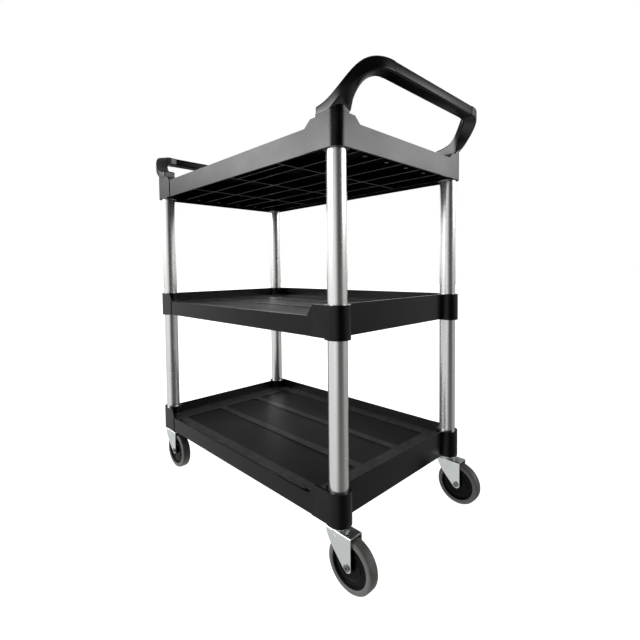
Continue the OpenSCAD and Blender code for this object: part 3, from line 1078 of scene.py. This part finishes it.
@dataclass
class Caster:
    """A swivel caster.

    Its raceway and stem stay on the frame, the fork and axle swivel, and the wheel turns; here the
    fork rides with the swivel and the tyre and hub with the wheel, while the axle pieces stay where
    the frame has them.
    """

    corner: Corner
    finishes: Finishes
    fork_w: float = 34 * MM
    sheet_t: float = 2.5 * MM
    tip_r: float = 9 * MM
    fork_bend: float = 3.2 * MM
    fork_edge: float = 0.6 * MM
    fork_steps: tuple[int, int] = (14, 36)
    dart_depth: float = 2.2 * MM
    dart_drop: float = 6 * MM
    dart_x: float = 3 * MM
    dart_size: Pair = (3.2 * MM, 4 * MM)
    hub_edge: float = 0.5 * MM
    shoulder: float = 6 * MM
    bore_gap: float = 0.06 * MM
    wheel_steps: int = 128

    def __post_init__(self) -> None:
        """Reads the places from the frame."""
        label = self.corner.label
        lo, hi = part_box(f"tyre_{label}")
        self.axle = (lo + hi) / 2
        self.wheel_r = (hi.z - lo.z) / 2
        self.tyre_w = hi.y - lo.y
        race_lo, race_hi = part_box(f"upper_raceway_{label}")
        self.swivel = (race_lo + race_hi) / 2
        fork_lo, fork_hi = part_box(f"fork_{label}")
        self.fork_top = fork_hi.z
        self.fork_x = (fork_lo.x - self.swivel.x, fork_hi.x - self.swivel.x)

    def build(self) -> None:
        """Makes and dresses every piece of the caster."""
        label = self.corner.label
        self._fork()
        self._wheel()
        for kind, finish, edge in (
            ("swivel_stem", self.finishes.steel, 0.4),
            ("upper_raceway", self.finishes.zinc, 0.8),
            ("race_balls", self.finishes.steel, 0.05),
            # the axle bolt takes the darker steel, painted shade for its recess
            ("axle_bolt", self.finishes.dark_steel, 0.7),
            ("axle_nut", self.finishes.steel, 0.5),
            ("axle_sleeve", self.finishes.steel, 0.3),
        ):
            dress_node(f"{kind}_{label}", finish, edge * MM)
        LOG.info("caster at %s", label)

    def _leg_span(self, z: float) -> Pair:
        """How far a fork leg reaches back and forward of the swivel axis at a height.

        Args:
            z: the height.

        Returns:
            The two places along X.
        """
        trail = self.axle.x - self.swivel.x
        up = z - self.axle.z
        round_half = math.sqrt(max(self.tip_r**2 - up**2, 1e-10))
        rise = self.fork_top - self.axle.z
        start = 0.6 * self.tip_r
        back = Curve(
            (-start, trail - 0.8 * self.tip_r), (0.5 * rise, self.fork_x[0] + 10 * MM),
            (0.72 * rise, self.fork_x[0] - 0.5 * MM), (rise, self.fork_x[0]),
        )
        if up < 0.0:
            reach = round_half if up < -start else trail - back.height(up)
            return trail - reach, trail + round_half
        share = up / rise
        front = trail + self.tip_r + (self.fork_x[1] - trail - self.tip_r) * share
        return back.height(up), front

    def _fork(self) -> None:
        """Makes the pressed fork: a bent sheet with tapered legs and round tips."""
        label = self.corner.label
        bend = self.fork_bend
        outer = self.fork_w / 2
        steps, across = self.fork_steps
        path: list[Pair] = []
        for i in range(steps + 1):
            drop = self.tip_r * math.cos(math.pi / 2 * i / steps)
            path.append((-outer, self.axle.z - drop + 0.02 * MM))
        straight = self.fork_top - bend - self.axle.z
        path += [(-outer, self.axle.z + straight * i / steps) for i in range(1, steps)]
        path += arc(-outer + bend, self.fork_top - bend, bend, 180, 90, 6)
        path += [(-outer * k / 4, self.fork_top) for k in (2, 1, 0)]
        path += [(-y, z) for y, z in reversed(path[:-1])]
        verts, faces = [], []
        wide, high = self.dart_size
        for y, z in path:
            back, reach = self._leg_span(z)
            side = 0.0 if abs(y) < 1e-6 else math.copysign(1.0, y)
            for k in range(across + 1):
                x = back + (reach - back) * k / across
                u, v = (x - self.dart_x) / wide, (z - self.fork_top + self.dart_drop) / high
                sink = self.dart_depth * math.exp(-u * u - v * v) * (abs(y) / outer) ** 4
                spot = Vector((x, y - side * sink, z))
                verts.append(self.swivel.xy.to_3d() + spot)
        for i in range(len(path) - 1):
            for k in range(across):
                a = i * (across + 1) + k
                faces.append([a, a + 1, a + across + 2, a + across + 1])
        mesh = bpy.data.meshes.new(f"fork_sheet_{label}")
        mesh.from_pydata([tuple(v) for v in verts], [], faces)
        for polygon in mesh.polygons:
            polygon.use_smooth = True
        fork = new_object(f"fork_sheet_{label}", mesh, self.finishes.zinc)
        solid = fork.modifiers.new("sheet", "SOLIDIFY")
        solid.thickness = self.sheet_t
        solid.offset = -1.0
        solid.use_even_offset = True
        soften(fork, self.fork_edge, 50.0)
        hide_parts(f"fork_{label}")
        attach(fork, f"caster_{label}")

    def _wheel(self) -> None:
        """Turns the hub and the tyre and lets them ride with the wheel."""
        label = self.corner.label
        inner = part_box(f"wheel_hub_{label}")
        hub_r = (inner[1].z - inner[0].z) / 2
        boss = (inner[1].y - inner[0].y) / 2
        half = self.tyre_w / 2
        profile = self._tyre_profile(hub_r, half)
        made = self._turn(f"tyre_ring_{label}", profile, self.finishes.rubber)
        self._ride_wheel(made, f"tyre_{label}")
        profile = self._hub_profile(hub_r, half, boss)
        made = self._turn(f"hub_disc_{label}", profile, self.finishes.hub)
        soften(made, self.hub_edge, 40.0)
        self._ride_wheel(made, f"wheel_hub_{label}")

    def _turn(
        self, name: str, profile: Sequence[Pair], finish: bpy.types.Material
    ) -> bpy.types.Object:
        """Turns a profile about the axle into a piece."""
        shell = Shell()
        axis = Vector((0.0, 1.0, 0.0))
        shell.loft(lathe_rings(profile, self.axle, axis, self.wheel_steps), loop=True)
        return new_object(name, shell.mesh(name), finish)

    def _ride_wheel(self, piece: bpy.types.Object, node: str) -> None:
        """Lets a turned piece stand for a node of the wheel."""
        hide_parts(node)
        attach(piece, f"wheel_{self.corner.label}")

    def _tyre_profile(self, hub_r: float, half: float) -> list[Pair]:
        """The tyre's section as radius and place along the axle."""
        r = self.wheel_r
        shoulder = self.shoulder
        side = [
            (hub_r, half - 1.2 * MM), (hub_r + 1.0 * MM, half - 0.4 * MM),
            (hub_r + 2.5 * MM, half), (r - shoulder - 1.5 * MM, half),
        ]
        side += arc(r - shoulder, half - shoulder, shoulder, 90, 20, 8)
        crown = [(r - 0.15 * MM, half * 0.35), (r, 0.0)]
        upper = side + crown
        lower = [(a, -b) for a, b in reversed(upper[:-1])]
        return upper + lower

    def _hub_profile(self, hub_r: float, half: float, boss: float) -> list[Pair]:
        """The hub's section as radius and place along the axle."""
        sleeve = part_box(f"axle_sleeve_{self.corner.label}")
        bore = (sleeve[1].z - sleeve[0].z) / 2 + self.bore_gap
        rim, face = half - 1 * MM, half - 4 * MM
        upper = [
            (bore, boss), (10 * MM, boss), (11 * MM, boss - 1 * MM), (11.4 * MM, face),
            (23 * MM, face), (23.6 * MM, face + 1.1 * MM), (25 * MM, face + 1.1 * MM),
            (25.6 * MM, face), (hub_r - 4.6 * MM, face - 0.8 * MM),
            (hub_r - 3 * MM, rim - 0.4 * MM), (hub_r - 2.4 * MM, rim), (hub_r, rim),
        ]
        return upper + [(a, -b) for a, b in reversed(upper)]


# ---------- studio


@dataclass
class Studio:
    """Pale floor, surroundings that light the cart, and the camera."""

    eye: Vector = field(default_factory=lambda: Vector((0.8424, -0.7852, 0.5933)))
    yaw: float = 0.8323
    pitch: float = -0.0414
    roll: float = 0.0126
    lens: float = 23.05
    shift: Pair = (0.045, -0.051)
    away: float = 137.0
    left_side: float = -125.0
    right_side: float = 85.0
    left_box_side: float = -126.0
    right_box_side: float = 42.0
    strength: float = 9.0
    sensor: float = 36.0
    floor_half: float = 14.0
    floor_z: Pair = (-0.02, -0.0005)
    left_lobe: Pair = (-0.05, 0.7)
    right_lobe: Pair = (-0.1, 0.95)
    left_box_lobe: Pair = (0.82, 0.985)
    right_box_lobe: Pair = (0.82, 0.99)
    back_lobe: Pair = (0.45, 0.8)
    left_glow: Stops = (
        (-1.0, 0.15), (-0.75, 0.08), (-0.6, 0.06), (-0.4, 0.072), (-0.26, 0.088), (-0.1, 0.092),
        (0.05, 0.098), (0.2, 0.095), (0.33, 0.06), (0.4, 0.004), (0.6, 0.002), (1.0, 0.06),
    )
    left_box: Stops = (
        (-1.0, 0.15), (-0.75, 0.08), (-0.6, 0.06), (-0.4, 0.07), (-0.26, 0.078), (-0.1, 0.078),
        (0.1, 0.095), (0.18, 0.4), (0.22, 1.3), (0.27, 1.75), (0.345, 1.75), (0.375, 0.7),
        (0.395, 0.03), (0.42, 0.001), (0.6, 0.002), (1.0, 0.06),
    )
    right_glow: Stops = (
        (-1.0, 0.15), (-0.75, 0.06), (-0.6, 0.03), (-0.35, 0.038), (-0.1, 0.045), (0.05, 0.062),
        (0.2, 0.075), (0.35, 0.06), (0.42, 0.006), (0.6, 0.006), (1.0, 0.06),
    )
    right_box: Stops = (
        (-1.0, 0.15), (-0.75, 0.06), (-0.6, 0.03), (-0.35, 0.035), (0.1, 0.05), (0.17, 0.3),
        (0.22, 0.8), (0.3, 1.0), (0.34, 1.0), (0.37, 0.4), (0.4, 0.08), (0.44, 0.004),
        (0.6, 0.006), (1.0, 0.06),
    )
    front_glow: Stops = (
        (-1.0, 0.15), (-0.75, 0.06), (-0.55, 0.012), (0.0, 0.006), (0.4, 0.004), (1.0, 0.06),
    )
    back_glow: Stops = (
        (-1.0, 0.15), (-0.75, 0.06), (-0.55, 0.02), (-0.02, 0.02), (0.02, 0.14), (0.13, 0.15),
        (0.2, 0.045), (0.3, 0.02), (0.6, 0.016), (1.0, 0.06),
    )

    def build(self) -> None:
        """Makes the whole studio."""
        self._camera()
        self._floor()
        self._world()
        LOG.info("studio ready")

    def _camera(self) -> None:
        """Stands the camera at its place."""
        data = bpy.data.cameras.new("camera")
        data.lens = self.lens
        data.sensor_width = self.sensor
        data.shift_x, data.shift_y = self.shift
        camera = bpy.data.objects.new("camera", data)
        camera.location = self.eye
        turn = Matrix.Rotation(self.yaw, 4, "Z")
        nod = Matrix.Rotation(math.pi / 2 + self.pitch, 4, "X")
        tilt = Matrix.Rotation(-self.roll, 4, "Z")
        camera.rotation_euler = (turn @ nod @ tilt).to_euler()
        bpy.context.scene.collection.objects.link(camera)
        bpy.context.scene.camera = camera
        bpy.context.scene.view_settings.view_transform = "Standard"

    def _floor(self) -> None:
        """Lays a pale floor that keeps its light to itself."""
        made, graph = material("pale_floor")
        tone = graph.blend(graph.noise(0.4, 3.0), (0.86, 0.86, 0.86), (0.9, 0.9, 0.9))
        graph.surface(
            Base_Color=tone, Roughness=0.7, Emission_Color=WHITE, Emission_Strength=1.0
        )
        shell = Shell()
        half = self.floor_half
        corners = ((-half, -half), (half, -half), (half, half), (-half, half))
        shell.loft([[Vector((x, y, z)) for x, y in corners] for z in self.floor_z])
        floor = new_object("floor", shell.mesh("floor"), made)
        floor.visible_diffuse = False
        floor.visible_glossy = False

    def _world(self) -> None:
        """White to the camera; what lights the cart changes with direction and height."""
        world = bpy.data.worlds.new("surroundings")
        world.use_nodes = True
        bpy.context.scene.world = world
        graph = Graph(world.node_tree)
        ray = graph.node("ShaderNodeTexCoord", output="Generated")
        rise = graph.node("ShaderNodeSeparateXYZ", None, {0: ray}, "Z") * 0.5 + 0.5
        left, right, left_share, right_share, behind = (
            self._towards(graph, ray, azimuth).smooth(*lobe)
            for azimuth, lobe in (
                (self.left_side, self.left_lobe),
                (self.right_side, self.right_lobe),
                (self.left_box_side, self.left_box_lobe),
                (self.right_box_side, self.right_box_lobe),
                (self.away, self.back_lobe),
            )
        )
        front, on_left, on_right, back = (
            self._profile(graph, rise, stops)
            for stops in (self.front_glow, self.left_glow, self.right_glow, self.back_glow)
        )
        glow = front + (on_left - front) * left + (on_right - front) * right
        for share, stops in ((left_share, self.left_box), (right_share, self.right_box)):
            glow = glow + (self._profile(graph, rise, stops) - glow) * share
        glow = (glow + (back - glow) * behind) * self.strength
        light, white = (
            graph.node("ShaderNodeBackground", None, {"Color": WHITE, "Strength": strength})
            for strength in (glow, 1.0)
        )
        seen = graph.node("ShaderNodeLightPath", output="Is Camera Ray")
        mixed = graph.node("ShaderNodeMixShader", None, {0: seen, 1: light, 2: white})
        graph.node("ShaderNodeOutputWorld", None, {"Surface": mixed})

    @staticmethod
    def _towards(graph: Graph, ray: Signal, azimuth: float) -> Signal:
        """How closely a direction points to an azimuth, 1 for straight at it."""
        a = math.radians(azimuth)
        aim = (math.cos(a), math.sin(a), 0.0)
        return graph.node(
            "ShaderNodeVectorMath", {"operation": "DOT_PRODUCT"}, {0: ray, 1: aim}, "Value"
        )

    @staticmethod
    def _profile(graph: Graph, rise: Signal, stops: Sequence[Pair]) -> Signal:
        """Brightness by height, from stops of the direction's Z and the brightness."""
        return graph.node(
            "ShaderNodeValToRGB",
            {"stops": [((z + 1) / 2, (g, g, g)) for z, g in stops]}, {"Fac": rise},
        )


# ---------- the cart


def main() -> None:
    """Builds the cart piece by piece, then the studio."""
    logging.basicConfig(level=logging.INFO, format="%(name)s: %(message)s")
    finishes = Finishes()
    Trays(finishes).dress()
    Uprights(finishes).dress()
    for end in End:
        Handle(end, finishes).build()
    for corner in Corner:
        Caster(corner, finishes).build()
    Studio().build()


if __name__ == "__main__":
    main()
